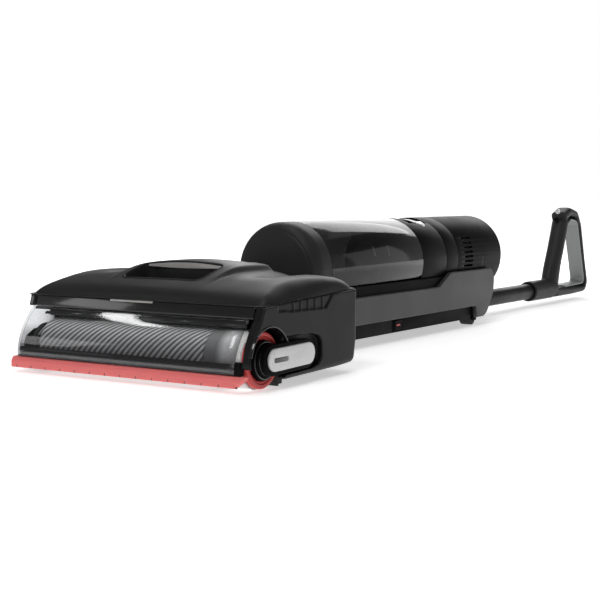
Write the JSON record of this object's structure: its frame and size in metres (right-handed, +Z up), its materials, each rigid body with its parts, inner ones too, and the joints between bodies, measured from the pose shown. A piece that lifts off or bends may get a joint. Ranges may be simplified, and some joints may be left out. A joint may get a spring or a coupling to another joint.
{
  "type": "wet dry floor scrubber",
  "caption": "Cordless lay-flat floor washer: a wide head with a spinning brush roller and clear cover, a jointed neck, a body with water tanks, and a tube with a D handle.",
  "frame": {"origin": "on the floor below the middle of the machine's box", "axes": "+X to the machine's right side, +Y from the floor head to the handle, +Z up"},
  "size_m": [0.29, 1.144, 0.1455],
  "materials": {
    "charcoal_plastic": "satin",
    "black_plastic": "matte",
    "gloss_black": "gloss",
    "grey_panel": "satin",
    "clear_cover": "clear",
    "smoked_tank": "smoked",
    "lens": "frosted",
    "red_rubber": "matte",
    "red_plastic": "satin",
    "microfibre": "plush",
    "silver": "satin",
    "light_alloy": "brushed",
    "black_rubber": "matte",
    "steel": "brushed",
    "brass": "plain",
    "grip_grey": "matte",
    "circuit": "matte",
    "foam": "open",
    "cell_wrap": "plain",
    "white_plastic": "satin"
  },
  "bodies": {
    "head": {"head_chassis": "black_plastic", "floor_plate_screws": "steel", "top_cover": "charcoal_plastic", "hump_lens": "lens", "front_lip": "gloss_black", "side_casing_right": "charcoal_plastic", "side_casing_left": "charcoal_plastic", "rear_squeegee": "black_rubber", "brush_motor": "light_alloy", "drive_bearings": "steel", "drive_belt": "black_rubber", "spray_bar": "white_plastic", "suction_duct": "black_plastic", "charging_contacts": "brass"},
    "brush_cover": {"brush_window": "clear_cover", "scraper_bar": "light_alloy", "bumper_strip": "red_rubber"},
    "roller_handle": {"roller_lever": "black_plastic", "lever_plate": "silver", "roller_bearing": "steel"},
    "roller": {"roller_core": "black_plastic", "roller_pile": "microfibre", "roller_end_ring": "red_plastic"},
    "drive": {"drive_pulley": "white_plastic"},
    "motor_drive": {"motor_pulley": "steel"},
    "wheel_left": {"rear_wheel_left": "black_rubber"},
    "wheel_right": {"rear_wheel_right": "black_rubber"},
    "neck": {"neck_yoke": "black_plastic", "neck_tilt_pin": "steel"},
    "body": {"neck_fork": "black_plastic", "spine_frame": "black_plastic", "side_panel_left": "grey_panel", "side_panel_right": "grey_panel", "motor_housing": "charcoal_plastic", "exhaust_cover": "charcoal_plastic", "display_disc": "gloss_black", "suction_motor": "light_alloy", "exhaust_filter": "foam", "control_board": "circuit", "main_tube": "charcoal_plastic", "grip_shell": "charcoal_plastic", "grip_liner": "grip_grey", "water_pump": "white_plastic"},
    "clean_tank": {"clean_water_tank": "black_plastic", "clean_tank_cap": "black_rubber"},
    "battery": {"battery_case": "black_plastic", "battery_cells": "cell_wrap"},
    "battery_latch": {"battery_latch": "black_plastic"},
    "body_rollers": {"support_rollers": "black_rubber"},
    "dirty_tank": {"tank_tube": "smoked_tank", "tank_front_cap": "charcoal_plastic", "tank_seal": "black_rubber", "tank_lid": "black_plastic", "tank_filter": "foam", "intake_pipe": "black_plastic"},
    "float": {"tank_float": "white_plastic"},
    "tank_latch": {"tank_latch": "silver"},
    "fan": {"fan_wheel": "white_plastic"},
    "power_button": {"power_button": "black_plastic"},
    "mode_button": {"mode_button": "silver"}
  },
  "joints": [
    {"name": "neck_swivel", "type": "hinge", "parent": "head", "child": "neck", "pos_m": [0, -0.40405, 0.052], "axis": [0, 0, 1], "range_deg": [-40, 40]},
    {"name": "neck_tilt", "type": "hinge", "parent": "neck", "child": "body", "pos_m": [0, -0.40405, 0.052], "axis": [1, 0, 0], "range_deg": [0, 90]},
    {"name": "cover_lift", "type": "slide", "parent": "head", "child": "brush_cover", "axis": [0, -0.8486, 0.5291], "range_m": [0, 0.06]},
    {"name": "roller_pull", "type": "slide", "parent": "head", "child": "roller_handle", "axis": [1, 0, 0], "range_m": [0, 0.26]},
    {"name": "roller_spin", "type": "hinge", "parent": "roller_handle", "child": "roller", "pos_m": [0.01, -0.53805, 0.026], "axis": [1, 0, 0], "continuous": true},
    {"name": "drive_spin", "type": "hinge", "parent": "head", "child": "drive", "pos_m": [-0.119, -0.53805, 0.026], "axis": [1, 0, 0], "continuous": true},
    {"name": "brush_motor_spin", "type": "hinge", "parent": "head", "child": "motor_drive", "pos_m": [-0.119, -0.48005, 0.04], "axis": [1, 0, 0], "continuous": true},
    {"name": "wheel_left_spin", "type": "hinge", "parent": "head", "child": "wheel_left", "pos_m": [-0.093, -0.41605, 0.019], "axis": [1, 0, 0], "continuous": true},
    {"name": "wheel_right_spin", "type": "hinge", "parent": "head", "child": "wheel_right", "pos_m": [0.093, -0.41605, 0.019], "axis": [1, 0, 0], "continuous": true},
    {"name": "body_roller_spin", "type": "hinge", "parent": "body", "child": "body_rollers", "pos_m": [0, 0.06795, 0.01], "axis": [1, 0, 0], "continuous": true},
    {"name": "dirty_tank_lift", "type": "slide", "parent": "body", "child": "dirty_tank", "axis": [0, 0, 1], "range_m": [0, 0.12]},
    {"name": "float_rise", "type": "slide", "parent": "dirty_tank", "child": "float", "axis": [0, 1, 0], "range_m": [0, 0.015]},
    {"name": "tank_latch_press", "type": "slide", "parent": "body", "child": "tank_latch", "axis": [0, 0, -1], "range_m": [0, 0.002], "stiffness_N_per_m": 400},
    {"name": "clean_tank_release", "type": "slide", "parent": "body", "child": "clean_tank", "axis": [0, 0, -1], "range_m": [0, 0.06]},
    {"name": "battery_release", "type": "slide", "parent": "body", "child": "battery", "axis": [0, 0, -1], "range_m": [0, 0.06]},
    {"name": "battery_latch_press", "type": "slide", "parent": "body", "child": "battery_latch", "axis": [-1, 0, 0], "range_m": [0, 0.002], "stiffness_N_per_m": 400},
    {"name": "fan_spin", "type": "hinge", "parent": "body", "child": "fan", "pos_m": [0, -0.04205, 0.0877], "axis": [0, 1, 0], "continuous": true},
    {"name": "power_button_press", "type": "slide", "parent": "body", "child": "power_button", "axis": [0, 0.9018, -0.4321], "range_m": [0, 0.0012], "stiffness_N_per_m": 300},
    {"name": "mode_button_press", "type": "slide", "parent": "body", "child": "mode_button", "axis": [0, 0.9018, -0.4321], "range_m": [0, 0.0012], "stiffness_N_per_m": 300}
  ],
  "couplings": [
    {"joint": "drive_spin", "follows": "roller_spin", "ratio": 1},
    {"joint": "brush_motor_spin", "follows": "roller_spin", "ratio": 2.5}
  ]
}
